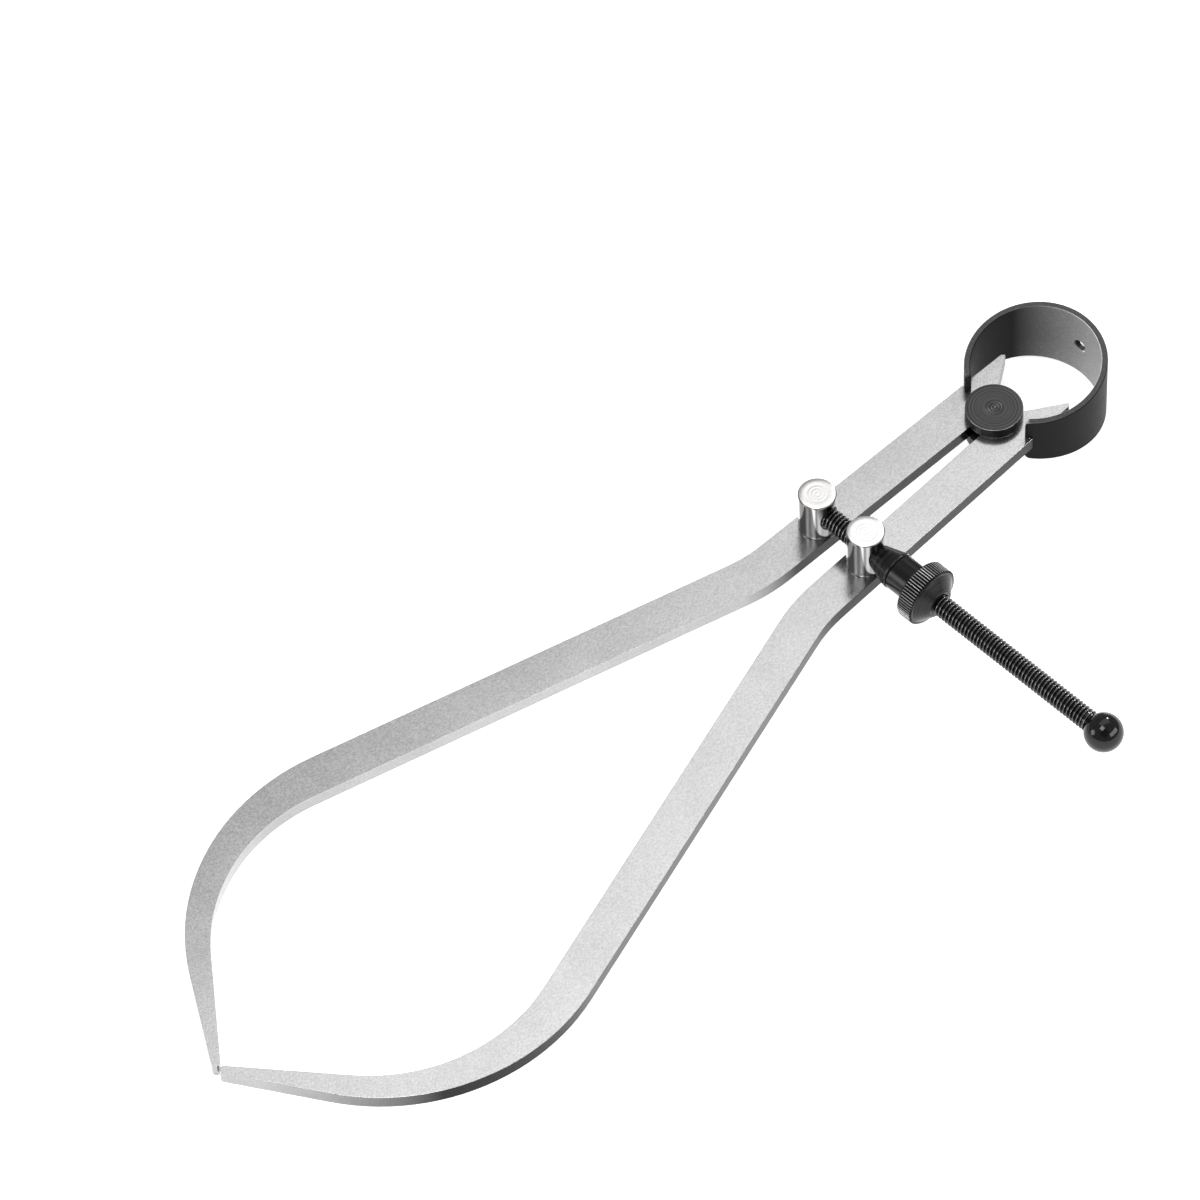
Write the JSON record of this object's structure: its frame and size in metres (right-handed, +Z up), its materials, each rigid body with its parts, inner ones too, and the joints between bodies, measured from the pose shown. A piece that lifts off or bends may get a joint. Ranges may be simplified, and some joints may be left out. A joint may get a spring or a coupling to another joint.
{
  "type": "outside spring caliper",
  "caption": "Outside spring caliper: curved flat steel legs rolling on a fulcrum stud inside a tapered bow spring, set by a knurled nut on a ball-ended screw between swivelling posts.",
  "frame": {"origin": "on the fulcrum's axis, at the underside of its lower flange", "axes": "+Z up out of the upper flange, +Y from the tips towards the bow, +X along the screw towards its ball"},
  "size_m": [0.1071, 0.2234, 0.0202],
  "materials": {
    "leg_steel": "fine ground, bright",
    "black_oxide": "satin black oxide with turning marks",
    "spring_steel": "satin black oxide",
    "nickel": "satin nickel, faintly turned",
    "screw_black": "oiled black oxide",
    "ball_black": "glossy black"
  },
  "bodies": {
    "fulcrum": {"fulcrum_stud": "black_oxide", "fulcrum_washer": "black_oxide", "bow_spring": "spring_steel"},
    "left_leg": {"left_leg": "leg_steel"},
    "right_leg": {"right_leg": "leg_steel"},
    "screw_post": {"screw_post": "nickel", "screw_post_washer": "nickel", "adjusting_screw": "screw_black", "end_ball": "ball_black"},
    "nut_post": {"nut_post": "nickel", "nut_post_washer": "nickel", "thrust_bush": "black_oxide"},
    "adjusting_nut": {"adjusting_nut": "black_oxide"}
  },
  "joints": [
    {"name": "left_leg_pivot", "type": "hinge", "parent": "fulcrum", "child": "left_leg", "pos_m": [0, 0, 0], "axis": [0, 0, -1], "range_deg": [0, 27], "deforming": ["bow_spring"]},
    {"name": "right_leg_pivot", "type": "hinge", "parent": "fulcrum", "child": "right_leg", "pos_m": [0, 0, 0], "axis": [0, 0, 1], "range_deg": [0, 27], "deforming": ["bow_spring"]},
    {"name": "screw_post_swivel", "type": "hinge", "parent": "left_leg", "child": "screw_post", "pos_m": [-0.00617, -0.04065, 0], "axis": [0, 0, 1], "range_deg": [0, 27]},
    {"name": "nut_post_swivel", "type": "hinge", "parent": "right_leg", "child": "nut_post", "pos_m": [0.00617, -0.04065, 0], "axis": [0, 0, -1], "range_deg": [0, 27]},
    {"name": "nut_turn", "type": "hinge", "parent": "nut_post", "child": "adjusting_nut", "pos_m": [0.00617, -0.04065, 0.0103], "axis": [1, 0, 0], "range_deg": [0, 16200]}
  ],
  "couplings": [
    {"joint": "right_leg_pivot", "follows": "left_leg_pivot", "ratio": 1},
    {"joint": "screw_post_swivel", "follows": "left_leg_pivot", "ratio": 1},
    {"joint": "nut_post_swivel", "follows": "left_leg_pivot", "ratio": 1},
    {"joint": "nut_turn", "follows": "left_leg_pivot", "ratio": 597.3}
  ]
}
